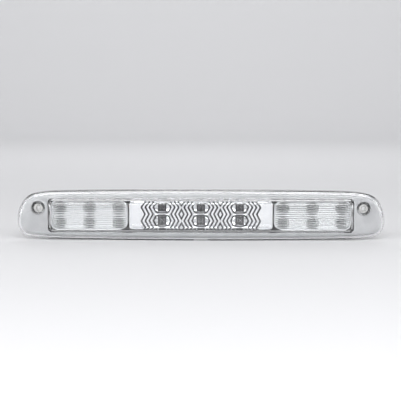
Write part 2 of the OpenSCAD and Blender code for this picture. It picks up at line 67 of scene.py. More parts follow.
# %% Shared sizes
lens_low, lens_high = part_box("outer_lens")
LAMP_W = (lens_high.x - lens_low.x) / MM
LAMP_H = (lens_high.z - lens_low.z) / MM
MID_Z = (lens_high.z + lens_low.z) / 2 / MM
WIDEST_DROP = 8
END_SWEEP = 3
SLEEVE_RIM_R = 5.5
SCREW_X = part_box("screw_sleeves")[1].x / MM - SLEEVE_RIM_R
SCREWS = (-SCREW_X, SCREW_X)
SIDES = ((-1, "left"), (1, "right"))
FRONT_HOUSING = 5
FRONT_FLANGE = 15
LENS_T = 2.5
CLEARANCE = 0.4
WINDOW_W, WINDOW_H, WINDOW_R = 359, 41, 6
print(f"lamp {LAMP_W:.1f} x {LAMP_H:.1f} mm, mid-height {MID_Z:.1f}, screws at {SCREW_X:.1f}")

# %% [markdown]
# ## The camera
#
# The lamp is seen straight from the front and slightly from above, with a long lens, so its edges
# run nearly parallel. The camera aims a little above the lamp, which leaves it just below the
# middle of the picture.

# %% Camera
CAMERA_RISE = math.radians(6.3)
CAMERA_ROLL = math.radians(0.15)
CAMERA_FAR = 1.091
aim = Vector((-0.0005, -0.015, MID_Z * MM + 0.0180))
camera_data = bpy.data.cameras.new("camera")
camera_data.lens = 84
camera_data.sensor_width = 36
camera = bpy.data.objects.new("camera", camera_data)
away = Vector((0, -math.cos(CAMERA_RISE), math.sin(CAMERA_RISE)))
camera.location = aim + away * CAMERA_FAR
turn = (-away).to_track_quat("-Z", "Y").to_matrix() @ Matrix.Rotation(CAMERA_ROLL, 3, "Z")
camera.rotation_euler = turn.to_euler()
bpy.context.scene.collection.objects.link(camera)
bpy.context.scene.camera = camera
print("camera at", [round(v, 3) for v in camera.location])

# %% [markdown]
# ## Floor, softboxes and room
#
# The lamp stands on its lower edge on a pale floor that curves up into a wall all round, which
# softens the horizon. Chrome shows only what is round it: a softbox brightens the floor in front,
# which makes the white bands of the reflector, four more make the highlights along the lens, and
# two light the wall. A plain bright world would make chrome look like grey paint.

# %% Stage
bpy.context.scene.view_settings.view_transform = "Standard"
bpy.context.scene.view_settings.look = "None"

paper = bpy.data.materials.new("floor_paper")
paper.use_nodes = True
shader = paper.node_tree.nodes["Principled BSDF"]
shader.inputs["Base Color"].default_value = (0.66, 0.66, 0.67, 1)
shader.inputs["Roughness"].default_value = 0.6
shader.inputs["Specular IOR Level"].default_value = 0.3

FLOOR_R, COVE_R, WALL_TOP = 2.6, 1.4, 3.2
shape = bmesh.new()
line = [shape.verts.new((0, 0, 0)), shape.verts.new((FLOOR_R, 0, 0))]
for k in range(1, 13):
    a = math.pi / 2 * k / 12
    line.append(shape.verts.new((FLOOR_R + COVE_R * math.sin(a), 0, COVE_R * (1 - math.cos(a)))))
line.append(shape.verts.new((FLOOR_R + COVE_R, 0, WALL_TOP)))
edges = [shape.edges.new(pair) for pair in zip(line, line[1:])]
bmesh.ops.spin(shape, geom=line + edges, cent=(0, 0, 0), axis=(0, 0, 1), dvec=(0, 0, 0),
               angle=math.tau, steps=96, use_merge=True, use_duplicate=False)
bmesh.ops.remove_doubles(shape, verts=shape.verts, dist=1e-5)
for face in shape.faces:
    face.smooth = True
    if face.normal.z < 0:
        face.normal_flip()
floor_mesh = bpy.data.meshes.new("floor")
shape.to_mesh(floor_mesh)
shape.free()
floor = bpy.data.objects.new("floor", floor_mesh)
floor.location = (0, 0, lens_low.z)
floor_mesh.materials.append(paper)
bpy.context.scene.collection.objects.link(floor)


def softbox(name, place, width, height, power, target=(0, 0, 0)):
    """A rectangular area light that looks at a point."""
    lamp = bpy.data.lights.new(name, "AREA")
    lamp.shape = "RECTANGLE"
    lamp.size, lamp.size_y, lamp.energy = width, height, power
    holder = bpy.data.objects.new(name, lamp)
    holder.location = place
    holder.rotation_euler = (Vector(target) - Vector(place)).to_track_quat("-Z", "Y").to_euler()
    bpy.context.scene.collection.objects.link(holder)


softbox("key_softbox", (0.0, -1.5, 1.25), 2.2, 0.9, 20)
softbox("back_softbox", (0.0, 1.5, 1.3), 2.2, 0.9, 7)
softbox("floor_softbox", (0.0, -1.1, 0.55), 1.6, 0.35, 5, (0, -0.5, -0.04))
softbox("back_wall_softbox", (0.0, 1.6, 2.6), 3.0, 0.8, 45, (0, 4, 0.6))
softbox("front_wall_softbox", (0.0, -1.9, 2.6), 3.0, 0.8, 35, (0, -4, 0.6))
softbox("left_softbox", (-1.5, -0.7, 0.45), 0.5, 0.9, 9)
softbox("right_softbox", (1.5, -0.7, 0.45), 0.5, 0.9, 9)

room = bpy.data.worlds.new("room")
bpy.context.scene.world = room
room.use_nodes = True
room.node_tree.nodes["Background"].inputs["Color"].default_value = (0.72, 0.73, 0.75, 1)
room.node_tree.nodes["Background"].inputs["Strength"].default_value = 0.55
print("stage: floor, 7 softboxes and the room")

# %% [markdown]
# ## Effects that several finishes share
#
# Moulded plastic is never perfectly even: the tool's grain, a slow flow pattern and a little dust
# tell it from paint. Each effect is a node group with named sockets, so every finish can use it at
# its own scale. A group gives only masks and heights; the shader stays in the finish.

# %% Shader groups


def new_group(name, inputs, outputs):
    """A shader node group with float sockets, given as {name: default} and [names]."""
    group = bpy.data.node_groups.new(name, "ShaderNodeTree")
    for label, value in inputs.items():
        socket = group.interface.new_socket(label, in_out="INPUT", socket_type="NodeSocketFloat")
        socket.default_value = value
    for label in outputs:
        group.interface.new_socket(label, in_out="OUTPUT", socket_type="NodeSocketFloat")
    return group, group.nodes.new("NodeGroupInput"), group.nodes.new("NodeGroupOutput")


def add(tree, kind, **values):
    """A node of a kind, with its properties and the values of its named inputs."""
    node = tree.nodes.new(kind)
    for name, value in values.items():
        if name in node.inputs:
            node.inputs[name].default_value = value
        else:
            setattr(node, name, value)
    return node


def noise_of(tree, scale, detail=3.0):
    """Noise on object coordinates; scale is a number or a socket."""
    place = add(tree, "ShaderNodeTexCoord")
    noise = add(tree, "ShaderNodeTexNoise", Detail=detail)
    tree.links.new(place.outputs["Object"], noise.inputs["Vector"])
    if isinstance(scale, (int, float)):
        noise.inputs["Scale"].default_value = scale
    else:
        tree.links.new(scale, noise.inputs["Scale"])
    return noise.outputs["Fac"]


def ramp(tree, value, low, high, to_low, to_high):
    """Maps a value from one range to another."""
    node = add(tree, "ShaderNodeMapRange", **{"From Min": low, "From Max": high,
                                              "To Min": to_low, "To Max": to_high})
    tree.links.new(value, node.inputs["Value"])
    return node.outputs["Result"]


grain, entry, leave = new_group("moulded_grain", {"Grain Scale": 1500, "Flow Scale": 40},
                                ["Grain", "Flow"])
grain.links.new(noise_of(grain, entry.outputs["Grain Scale"], 2), leave.inputs["Grain"])
grain.links.new(noise_of(grain, entry.outputs["Flow Scale"], 4), leave.inputs["Flow"])

dust, entry, leave = new_group("settled_dust", {"Speck Scale": 900}, ["Dust"])
facing = add(dust, "ShaderNodeSeparateXYZ")
dust.links.new(add(dust, "ShaderNodeNewGeometry").outputs["Normal"], facing.inputs["Vector"])
upward = ramp(dust, facing.outputs["Z"], 0.3, 1.0, 0.0, 1.0)
specks = ramp(dust, noise_of(dust, entry.outputs["Speck Scale"], 5), 0.42, 0.68, 0.0, 1.0)
both = add(dust, "ShaderNodeMath", operation="MULTIPLY")
dust.links.new(upward, both.inputs[0])
dust.links.new(specks, both.inputs[1])
dust.links.new(both.outputs[0], leave.inputs["Dust"])
print("groups:", [g.name for g in bpy.data.node_groups])

# %% [markdown]
# ## Finishes
#
# One function makes the common kind of finish: a Principled shader whose colour drifts between two
# colours with the flow pattern, whose roughness varies, and whose surface has fine grain. Numbers
# that are the same all over the surface are set straight on the shader.

# %% Finish maker
FINISHES = {}


def finish(slot, dark, light, rough, metallic=0.0, grain_scale=1500, flow_scale=40, bump=0.02,
           dusty=0.0, **fixed):
    """Material for a slot of the record: colours and roughness are (low, high) over the flow."""
    made = bpy.data.materials.new(slot + "_finish")
    made.use_nodes = True
    tree = made.node_tree
    shader = tree.nodes["Principled BSDF"]
    shader.inputs["Metallic"].default_value = metallic
    for name, value in fixed.items():
        shader.inputs[name.replace("_", " ")].default_value = value
    effect = add(tree, "ShaderNodeGroup", node_tree=grain)
    effect.inputs["Grain Scale"].default_value = grain_scale
    effect.inputs["Flow Scale"].default_value = flow_scale
    colour = add(tree, "ShaderNodeMix", data_type="RGBA")
    colour.inputs["A"].default_value = (*dark, 1)
    colour.inputs["B"].default_value = (*light, 1)
    tree.links.new(ramp(tree, effect.outputs["Flow"], 0.35, 0.65, 0, 1), colour.inputs["Factor"])
    tree.links.new(colour.outputs["Result"], shader.inputs["Base Color"])
    drift = ramp(tree, effect.outputs["Flow"], 0.3, 0.7, *rough)
    tree.links.new(drift, shader.inputs["Roughness"])
    relief = add(tree, "ShaderNodeBump", Strength=bump, Distance=0.0004)
    tree.links.new(effect.outputs["Grain"], relief.inputs["Height"])
    tree.links.new(relief.outputs["Normal"], shader.inputs["Normal"])
    if dusty:
        grey = add(tree, "ShaderNodeGroup", node_tree=dust)
        over = add(tree, "ShaderNodeMix", data_type="RGBA")
        over.inputs["B"].default_value = (0.42, 0.41, 0.39, 1)
        tree.links.new(ramp(tree, grey.outputs["Dust"], 0, 1, 0, dusty), over.inputs["Factor"])
        tree.links.new(colour.outputs["Result"], over.inputs["A"])
        tree.links.new(over.outputs["Result"], shader.inputs["Base Color"])
    FINISHES[slot] = made
    return made, tree, shader


# %% [markdown]
# ### Clear plastics
#
# Polycarbonate bends light more than window glass does, with an index of 1.585. Light that only
# passes through on its way to the parts behind would be lost in a plain glass shader, so shadow
# rays see a nearly clear sheet instead.

# %% Clear finishes
POLYCARBONATE = 1.585


def clear(slot, colour, rough, tint, bump):
    """A see-through finish that lets shadow rays pass with a tint."""
    _, tree, shader = finish(slot, colour, colour, rough, flow_scale=25, bump=bump,
                             grain_scale=180, Transmission_Weight=1.0, IOR=POLYCARBONATE)
    for link in list(shader.inputs["Base Color"].links):
        tree.links.remove(link)
    shader.inputs["Base Color"].default_value = (*colour, 1)
    out = tree.nodes["Material Output"]
    ray = add(tree, "ShaderNodeLightPath")
    open_way = add(tree, "ShaderNodeBsdfTransparent", Color=(*tint, 1))
    choice = add(tree, "ShaderNodeMixShader")
    tree.links.new(ray.outputs["Is Shadow Ray"], choice.inputs["Fac"])
    tree.links.new(shader.outputs["BSDF"], choice.inputs[1])
    tree.links.new(open_way.outputs["BSDF"], choice.inputs[2])
    tree.links.new(choice.outputs["Shader"], out.inputs["Surface"])


clear("clear_lens", (0.985, 0.99, 0.995), (0.01, 0.03), (0.95, 0.955, 0.96), 0.01)
clear("fluted_lens", (0.985, 0.99, 0.99), (0.20, 0.27), (0.93, 0.94, 0.94), 0.02)
print("clear finishes ready")

# %% [markdown]
# ### Trim, chrome and black mouldings
#
# The trim under the lens is a pale silver paint: satin, hardly metallic, with a fine flake. The
# chrome is a thin metal film on plastic, so it follows every ripple of the moulding. Shade is
# painted into its colour in the steep grooves, where the surfaces only see each other: the pieces
# mark those faces with an attribute, and the trim marks the rounded edge of its opening in the
# same way, as a painted dark line. The housing, the header and the gasket are three different
# blacks: grained, smooth and foamed.

# %% Trim, chrome and blacks


def darken_grooves(tree, shader, deep):
    """Paints shade: turns the base colour dark where the piece's shade mark is 1."""
    film = shader.inputs["Base Color"].links[0].from_socket
    mark = add(tree, "ShaderNodeAttribute", attribute_name="groove")
    colour = add(tree, "ShaderNodeMix", data_type="RGBA")
    colour.inputs["B"].default_value = (*deep, 1)
    tree.links.new(film, colour.inputs["A"])
    tree.links.new(mark.outputs["Fac"], colour.inputs["Factor"])
    tree.links.new(colour.outputs["Result"], shader.inputs["Base Color"])


_, tree, shader = finish("silver_trim", (0.36, 0.363, 0.37), (0.42, 0.423, 0.43), (0.28, 0.36),
                         metallic=0.25, grain_scale=6000, flow_scale=60, bump=0.05)
# Painted shade: a near-black line on the trim's marked opening edge.
darken_grooves(tree, shader, (0.03, 0.03, 0.032))


def chrome(slot, rough, ripple, film=(0.93, 0.935, 0.945)):
    """A metal film on moulded plastic, with shade painted dark where the piece's shade mark is 1.
    """
    _, tree, shader = finish(slot, film, film, rough, metallic=1.0, grain_scale=260,
                             flow_scale=70, bump=ripple)
    darken_grooves(tree, shader, (0.020, 0.020, 0.022))


chrome("mirror_plastic", (0.05, 0.12), 0.03)
chrome("satin_mirror", (0.30, 0.42), 0.02, film=(0.74, 0.745, 0.755))
# slot, dark and light colour, roughness, metallic, grain scale, flow scale, bump, dust
for row in (
        ("black_housing", (0.018, 0.018, 0.020), (0.030, 0.030, 0.033), (0.42, 0.58),
         0, 2600, 30, 0.12, 0.25),
        ("connector_black", (0.012, 0.012, 0.013), (0.022, 0.022, 0.024), (0.28, 0.42),
         0, 1800, 90, 0.05, 0.2),
        ("gasket_foam", (0.020, 0.020, 0.021), (0.060, 0.060, 0.062), (0.85, 0.95),
         0, 1400, 700, 0.8),
        ("sealant", (0.52, 0.52, 0.53), (0.62, 0.62, 0.63), (0.35, 0.55), 0, 400, 150, 0.3),
        ("vent_rubber", (0.030, 0.030, 0.031), (0.050, 0.050, 0.052), (0.6, 0.75),
         0, 1500, 200, 0.2, 0.2),
        ("seal_rubber", (0.24, 0.07, 0.045), (0.32, 0.10, 0.065), (0.5, 0.65),
         0, 1500, 160, 0.15)):
    finish(*row)

# %% [markdown]
# ### Metal parts, boards and components
#
# Plated steel has a fine drawn grain; tin is brighter. A board is green lacquer, and copper tracks
# show through as a lighter green. The rest are the moulded epoxy, nylon and wire insulation of
# ordinary components.

# %% Metals, boards and components
for row in (
        ("sleeve_steel", (0.56, 0.56, 0.55), (0.72, 0.72, 0.70), (0.22, 0.38), 1, 2500, 260, 0.12),
        ("screw_steel", (0.50, 0.50, 0.48), (0.68, 0.67, 0.63), (0.25, 0.4), 1, 3000, 400, 0.1),
        ("terminal_tin", (0.70, 0.69, 0.66), (0.84, 0.83, 0.80), (0.2, 0.32), 1, 3000, 500, 0.05),
        ("capacitor_can", (0.62, 0.63, 0.65), (0.76, 0.77, 0.79), (0.25, 0.35),
         1, 2600, 300, 0.06),
        ("component_black", (0.020, 0.020, 0.021), (0.040, 0.040, 0.042), (0.45, 0.6),
         0, 5000, 500, 0.15),
        ("lead_insulation", (0.42, 0.03, 0.025), (0.52, 0.045, 0.035), (0.35, 0.5),
         0, 1500, 300, 0.06),
        ("led_package", (0.020, 0.021, 0.024), (0.035, 0.037, 0.041), (0.12, 0.2),
         0, 1500, 300, 0.02),
        ("lead_frame", (0.12, 0.12, 0.125), (0.18, 0.18, 0.185), (0.25, 0.35),
         0.7, 3000, 500, 0.05)):
    finish(*row)
finish("nylon", (0.72, 0.69, 0.60), (0.80, 0.77, 0.69), (0.35, 0.5), flow_scale=200, bump=0.05,
       Subsurface_Weight=0.15)
_, tree, shader = finish("circuit_board", (0.010, 0.075, 0.035), (0.018, 0.105, 0.052),
                         (0.28, 0.4), grain_scale=2400, flow_scale=500, bump=0.08)
place = add(tree, "ShaderNodeTexCoord")
tracks = add(tree, "ShaderNodeTexBrick", offset=0.5, Scale=150.0, Color1=(0.012, 0.080, 0.038, 1),
             Color2=(0.016, 0.095, 0.046, 1), Mortar=(0.045, 0.21, 0.11, 1))
tracks.inputs["Mortar Size"].default_value = 0.035
turned = add(tree, "ShaderNodeMapping", Rotation=(math.pi / 2, 0, 0))
tree.links.new(place.outputs["Object"], turned.inputs["Vector"])
tree.links.new(turned.outputs["Vector"], tracks.inputs["Vector"])
tree.links.new(tracks.outputs["Color"], shader.inputs["Base Color"])
print(len(FINISHES), "finishes:", ", ".join(sorted(FINISHES)))

# %% [markdown]
# ## Turning a bmesh into a piece
#
# Every new piece goes through the same last steps: weld the doubles, turn the faces outwards,
# shade by angle, hang on the lamp's one body, stand for its CAD nodes, and take the finish of its
# slot.

# %% Piece maker
SMOOTH_BELOW = 35


def verts_of(geom):
    """The verts among what an operator gives back."""
    return [v for v in geom if isinstance(v, bmesh.types.BMVert)]


def loose(shape, name):
    """A bmesh as a bare object, for tools and unfinished pieces."""
    mesh = bpy.data.meshes.new(name)
    shape.to_mesh(mesh)
    shape.free()
    made = bpy.data.objects.new(name, mesh)
    bpy.context.scene.collection.objects.link(made)
    return made


def shade(shape, smooth_below):
    """Smooths a bmesh and keeps its edges sharp above an angle."""
    limit = math.radians(smooth_below)
    for edge in shape.edges:
        edge.smooth = len(edge.link_faces) == 2 and edge.calc_face_angle(0) < limit
    for face in shape.faces:
        face.smooth = True


def sharpen(piece, smooth_below=SMOOTH_BELOW):
    """Shades a carved piece by angle again."""
    shape = bmesh.new()
    shape.from_mesh(piece.data)
    bmesh.ops.remove_doubles(shape, verts=shape.verts, dist=1e-6)
    shade(shape, smooth_below)
    shape.to_mesh(piece.data)
    shape.free()


def settle(shape, name, slot, stands_for=()):
    """Makes a bmesh in millimetres a finished piece of the lamp."""
    bmesh.ops.remove_doubles(shape, verts=shape.verts, dist=0.0005)
    bmesh.ops.scale(shape, vec=(MM, MM, MM), verts=shape.verts)
    bmesh.ops.recalc_face_normals(shape, faces=shape.faces)
    if shape.calc_volume(signed=True) < 0:
        bmesh.ops.reverse_faces(shape, faces=shape.faces)
    shade(shape, SMOOTH_BELOW)
    return dress(loose(shape, name), slot, stands_for)


def dress(piece, slot, stands_for=()):
    """Gives a piece its finish, its body and the CAD nodes it stands for."""
    piece.data.materials.clear()
    piece.data.materials.append(FINISHES[slot])
    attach(piece, "root")
    if stands_for:
        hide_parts(*stands_for)
    print(f"{piece.name}: {len(piece.data.polygons)} faces")
    return piece


def carve(piece, tool, how="DIFFERENCE"):
    """Cuts a tool object out of a piece, or welds it on, and removes the tool."""
    step = piece.modifiers.new("carve", "BOOLEAN")
    step.operation, step.solver, step.object = how, "EXACT", tool
    bpy.context.view_layer.update()
    carved = piece.evaluated_get(bpy.context.evaluated_depsgraph_get())
    mesh = bpy.data.meshes.new_from_object(carved)
    piece.modifiers.clear()
    spent, piece.data = piece.data, mesh
    bpy.data.meshes.remove(spent)
    bpy.data.objects.remove(tool)

# %% [markdown]
# ## Drawing an outline by walking it
#
# The lamp's outline and every opening in it are straight runs and arcs that touch without a
# corner. So an outline is walked: a point starts at the top of the middle line, heading along +X,
# and each step either extrudes it straight ahead or spins it round the centre of an arc. The walk
# gives the right half of the ring, and a mirror gives the left. Every ring is walked in the same
# number of steps, so two rings can be bridged with clean quads.

# %% Outline walker
EDGE_STEPS, END_STEPS = 16, 4
CORNER_STEPS = (6, 12, 9)


def walk(shape, start, moves):
    """Walks from start in the XZ plane; a move is (length or radius, degrees turned, steps)."""
    point, heading = shape.verts.new(start), 0.0
    for size, angle, steps in moves:
        ahead = Vector((math.cos(heading), 0, -math.sin(heading)))
        if angle:
            centre = point.co + Vector((ahead.z, 0, -ahead.x)) * size
            spun = bmesh.ops.spin(shape, geom=[point], cent=centre, axis=(0, 1, 0), dvec=(0, 0, 0),
                                  angle=math.radians(angle), steps=steps, use_duplicate=False)
            point = verts_of(spun["geom_last"])[0]
            heading += math.radians(angle)
        else:
            for _ in range(steps):
                point = bmesh.ops.extrude_vert_indiv(shape, verts=[point])["verts"][0]
                point.co += ahead * size / steps


def ring(shape, top, moves, front, swept=True):
    """A closed ring: the walked right half, its mirror image, and its place along the front."""
    old = set(shape.edges)
    walk(shape, (0, 0, top), moves)
    half = [e for e in shape.edges if e not in old]
    bmesh.ops.mirror(shape, geom=half + list({v for e in half for v in e.verts}),
                     matrix=Matrix.Identity(4), merge_dist=0.001, axis="X")
    edges = [e for e in shape.edges if e not in old]
    for vert in {v for e in edges for v in e.verts}:
        vert.co.y = -front + (sweep(vert.co.x) if swept else 0)
    return edges


def sweep(x):
    """How far the front of the lamp sweeps back at a distance from the middle."""
    return END_SWEEP * (2 * x / LAMP_W) ** 2


# %% [markdown]
# The outline has a long edge that turns through one degree, a shoulder, a corner and a side, each
# tangent to the next. It is widest a little below its middle, because its upper corners are larger
# than its lower ones. The two side radii aren't free: each is the one that brings its quarter down
# to the upright end of the lamp. Moving the outline inwards makes every radius smaller by the same
# amount.

# %% The lamp's outline
EDGE_TURN, SHOULDER_TURN, CORNER_TURN = 1, 10, 60
SHOULDER_R, UPPER_R, LOWER_R, END_FLAT = 170, 24, 16, 0.5


def quarter_radii(half_h, corner_r):
    """Radii of edge, shoulder, corner and side for a quarter of the outline."""
    a = [math.radians(v) for v in (EDGE_TURN, SHOULDER_TURN, CORNER_TURN)]
    radii = (SHOULDER_R, corner_r)
    across = LAMP_W / 2 - sum(r * (math.sin(a[k + 1]) - math.sin(a[k]))
                              for k, r in enumerate(radii))
    down = half_h - END_FLAT - sum(r * (math.cos(a[k]) - math.cos(a[k + 1]))
                                   for k, r in enumerate(radii))
    slope = math.tan(a[0] / 2)
    side = (down - across * slope) / (math.cos(a[2]) - slope * (1 - math.sin(a[2])))
    edge = (across - side * (1 - math.sin(a[2]))) / math.sin(a[0])
    return edge, SHOULDER_R, corner_r, side


UPPER = quarter_radii(LAMP_H / 2 + WIDEST_DROP, UPPER_R)
LOWER = quarter_radii(LAMP_H / 2 - WIDEST_DROP, LOWER_R)


def lamp_ring(shape, inset, front, swept=True):
    """The lamp's outline moved inwards, as a ring."""
    turns = (EDGE_TURN, SHOULDER_TURN - EDGE_TURN, CORNER_TURN - SHOULDER_TURN, 90 - CORNER_TURN)
    steps = (EDGE_STEPS, *CORNER_STEPS)
    upper = [(r - inset, turn, n) for r, turn, n in zip(UPPER, turns, steps)]
    lower = [(r - inset, turn, n) for r, turn, n in zip(LOWER, turns, steps)]
    moves = upper + [(2 * END_FLAT, 0, END_STEPS)] + lower[::-1]
    return ring(shape, MID_Z + LAMP_H / 2 - inset, moves, front, swept)


def box_ring(shape, width, height, corner_r, front, swept=True):
    """A rounded rectangle about the lamp's middle, walked in as many steps as the lamp."""
    corner = (corner_r, 90, sum(CORNER_STEPS))
    flat = (width / 2 - corner_r, 0, EDGE_STEPS)
    moves = [flat, corner, (height - 2 * corner_r, 0, END_STEPS), corner, flat]
    return ring(shape, MID_Z + height / 2, moves, front, swept)


def window_ring(shape, inset, front):
    """The outline of the lens window, made smaller on every side."""
    height = WINDOW_H - 2 * inset
    return box_ring(shape, WINDOW_W - 2 * inset, height,
                    min(max(WINDOW_R - inset, 1.0), height * 0.45), front)


def loft(shape, rings, closed=False):
    """Bridges each ring to the next, and the last to the first if closed."""
    for first, second in zip(rings, rings[1:] + (rings[:1] if closed else [])):
        bmesh.ops.bridge_loops(shape, edges=first + second)


print("side radii:", [round(v[3], 2) for v in (UPPER, LOWER)])

# %% [markdown]
# ## The outer lens
#
# On the real lamp this is one clear moulding: a skirt that stands on the gasket, a rolled edge, a
# flat flange, and a window that rises a few millimetres with a gentle crown. Its wall is 2.5 mm
# all over. Both surfaces are lofted from rings, because one Solidify step would fold over itself
# at the window's small radii.

# %% Outer lens
SKIRT_FRONT, ROLL_R, ROLL_STEPS = 1.5, 5, 8
WINDOW_RISE, CROWN = 3.5, 1.5
WALL_RISES = [(0, 0.0), (0.12, 0.6), (0.3, 1.6), (0.55, 2.5), (0.95, 3.1), (1.5, 3.42),
              (2.2, 3.58)]


def crown_rise(inset):
    """Rise of the window above the flange at a distance inside its edge."""
    share = min(inset / (WINDOW_H / 2), 1)
    return WINDOW_RISE + CROWN * (1 - (1 - share) ** 2)


def lens_skin(shape, depth):
    """Rings of the lens at a depth below its outer surface, from the skirt to the middle."""
    rings = [lamp_ring(shape, depth, SKIRT_FRONT + 0.5, False)]
    for k in range(ROLL_STEPS + 1):
        a = math.pi / 2 * k / ROLL_STEPS
        rings.append(lamp_ring(shape, ROLL_R - (ROLL_R - depth) * math.cos(a),
                               FRONT_FLANGE - ROLL_R + (ROLL_R - depth) * math.sin(a)))
    for inset, rise in WALL_RISES:
        rings.append(window_ring(shape, inset + depth * min(1, rise + 0.2),
                                 FRONT_FLANGE + rise - depth))
    for inset in (5.5, 8.5, 12, 15.5, 18.5):
        rings.append(window_ring(shape, inset, FRONT_FLANGE + crown_rise(inset) - depth))
    seam = window_ring(shape, WINDOW_H / 2 - 0.05, FRONT_FLANGE + WINDOW_RISE + CROWN - depth)
    for vert in {v for e in seam for v in e.verts}:
        vert.co.z = MID_Z
    return rings + [seam]


def close_seams(shape, front):
    """Welds the verts that the seams brought together on the middle line, in front of a depth."""
    bmesh.ops.remove_doubles(shape, dist=0.06, verts=[
        v for v in shape.verts if abs(v.co.z - MID_Z) < 1e-4 and v.co.y < -front])


def cylinder(name, radius, back, front, x, z=0.0, segments=64):
    """A round tool along the front direction, in metres."""
    shape = bmesh.new()
    bmesh.ops.create_cone(shape, cap_ends=True, segments=segments, radius1=radius * MM,
                          radius2=radius * MM, depth=(front - back) * MM)
    bmesh.ops.rotate(shape, matrix=Matrix.Rotation(math.pi / 2, 3, "X"), verts=shape.verts)
    bmesh.ops.translate(shape, vec=(x * MM, -(front + back) / 2 * MM, z * MM), verts=shape.verts)
    bmesh.ops.recalc_face_normals(shape, faces=shape.faces)
    return loose(shape, name)


def lathe(name, profile, x, z=0.0, steps=64):
    """A turned tool or part: (radius, front) points spun round an axis along the front."""
    shape = bmesh.new()
    verts = [shape.verts.new((r * MM, -f * MM, 0)) for r, f in profile]
    edges = [shape.edges.new(pair) for pair in zip(verts, verts[1:])]
    bmesh.ops.spin(shape, geom=verts + edges, cent=(0, 0, 0), axis=(0, 1, 0), dvec=(0, 0, 0),
                   angle=math.tau, steps=steps, use_merge=True, use_duplicate=False)
    bmesh.ops.remove_doubles(shape, verts=shape.verts, dist=1e-7)
    bmesh.ops.translate(shape, vec=(x * MM, 0, z * MM), verts=shape.verts)
    bmesh.ops.recalc_face_normals(shape, faces=shape.faces)
    return loose(shape, name)


shape = bmesh.new()
outer, inner = lens_skin(shape, 0), lens_skin(shape, LENS_T)
foot = lamp_ring(shape, LENS_T / 2, SKIRT_FRONT, False)
loft(shape, inner[::-1] + [foot] + outer)
close_seams(shape, FRONT_FLANGE)
lens = settle(shape, "outer_lens_moulding", "clear_lens", ["outer_lens"])

# %% [markdown]
# Each screw well is a tube that hangs from the flange down to the sleeve's seat. The tube is
# welded on, and one turned tool then bores the well, the hole for the sleeve and the rounded mouth
# whose edge catches the light.

# %% Screw wells
WELL_R, WELL_T, FRONT_WELL, WASHER_T = 6, 2, 7, 0.4
MOUTH_R, SEAT_R = 1.3, 4.15
front_pod = FRONT_FLANGE - sweep(SCREW_X)
for x in SCREWS:
    carve(lens, cylinder("well_tube", WELL_R + WELL_T, FRONT_HOUSING + WASHER_T,
                         front_pod - LENS_T / 2, x), "UNION")
    mouth = [(WELL_R + MOUTH_R * (1 - math.cos(a)), front_pod - MOUTH_R + MOUTH_R * math.sin(a))
             for a in [math.pi / 2 * k / 6 for k in range(7)]]
    carve(lens, lathe("well_tool", [(0, FRONT_HOUSING - 1), (SEAT_R, FRONT_HOUSING - 1),
                                    (SEAT_R, FRONT_WELL), (WELL_R, FRONT_WELL), *mouth,
                                    (WELL_R + MOUTH_R, front_pod + 3), (0, front_pod + 3)], x))
sharpen(lens)
print("lens wells bored,", len(lens.data.polygons), "faces")

# %% [markdown]
# ## The trim under the lens
#
# A pale painted moulding fills the flange and the end pods. Its outer edge shows through the lens
# as a second contour inside the lamp's outline, and it turns down into the housing round the
# window's opening. It is one closed section, lofted round the lamp: outer wall, rounded shoulder,
# face, lip, and back again inside. The rounded edge of the opening is marked for painted shade,
# and that dark line draws the thin contour at the window's ends.

# %% Flange bezel
BEZEL_INSET, BEZEL_T, BEZEL_LIP, OPENING = 4.7, 1.6, 3.4, 1.5
BEZEL_TOP = FRONT_FLANGE - LENS_T - CLEARANCE
SHOULDER, EDGE_ROUND = 1.4, 1.1
PEG_X, PEG_Z, PEG_R, EAR_T = (60.48, 106.15, 157.45), 20.6, 1.5, 1.6


def opening_ring(shape, inset, front):
    """The bezel's opening in the window, made larger by a negative inset."""
    grown = OPENING + inset
    return box_ring(shape, WINDOW_W - 2 * grown, WINDOW_H - 2 * grown,
                    max(WINDOW_R - grown, 1.0), front)


shape = bmesh.new()
rings = [lamp_ring(shape, BEZEL_INSET, FRONT_HOUSING, False)]
for k in range(5):
    a = math.pi / 2 * k / 4
    rings.append(lamp_ring(shape, BEZEL_INSET + SHOULDER * (1 - math.cos(a)),
                           BEZEL_TOP - SHOULDER * (1 - math.sin(a))))
for k in range(4):
    a = math.pi / 2 * k / 3
    rings.append(opening_ring(shape, -EDGE_ROUND * (1 - math.sin(a)),
                              BEZEL_TOP - EDGE_ROUND * (1 - math.cos(a))))
rings += [opening_ring(shape, 0, BEZEL_TOP - BEZEL_LIP),
          opening_ring(shape, -BEZEL_T, BEZEL_TOP - BEZEL_LIP),
          opening_ring(shape, -BEZEL_T, BEZEL_TOP - BEZEL_T),
          lamp_ring(shape, BEZEL_INSET + BEZEL_T, BEZEL_TOP - BEZEL_T),
          lamp_ring(shape, BEZEL_INSET + BEZEL_T, FRONT_HOUSING, False)]
loft(shape, rings, closed=True)
bezel = settle(shape, "pale_trim", "silver_trim", ["flange_bezel"])
for x in SCREWS:
    carve(bezel, cylinder("pod_tool", WELL_R + WELL_T + CLEARANCE, FRONT_HOUSING + 1, FRONT_FLANGE,
                          x))
for x in PEG_X:
    for side in (-1, 1):
        for up in (-1, 1):
            carve(bezel, cylinder("peg", PEG_R, FRONT_HOUSING + EAR_T,
                                  BEZEL_TOP - BEZEL_T + 0.6 - sweep(x), side * x,
                                  MID_Z + up * PEG_Z, segments=20), "UNION")
sharpen(bezel)
# Painted shade: the faces of the opening's rounded edge and lip are marked, and the finish paints
# them dark.
painted_edge_shade = bezel.data.attributes.new("groove", "FLOAT", "FACE")
for polygon in bezel.data.polygons:
    x, y, z = polygon.center / MM
    near = max(abs(x) - WINDOW_W / 2, abs(z - MID_Z) - WINDOW_H / 2) < EDGE_ROUND - OPENING + 0.05
    painted_edge_shade.data[polygon.index].value = float(near and -y > BEZEL_TOP - BEZEL_LIP - 4)
print("bezel:", len(bezel.data.polygons), "faces, with 12 pegs")
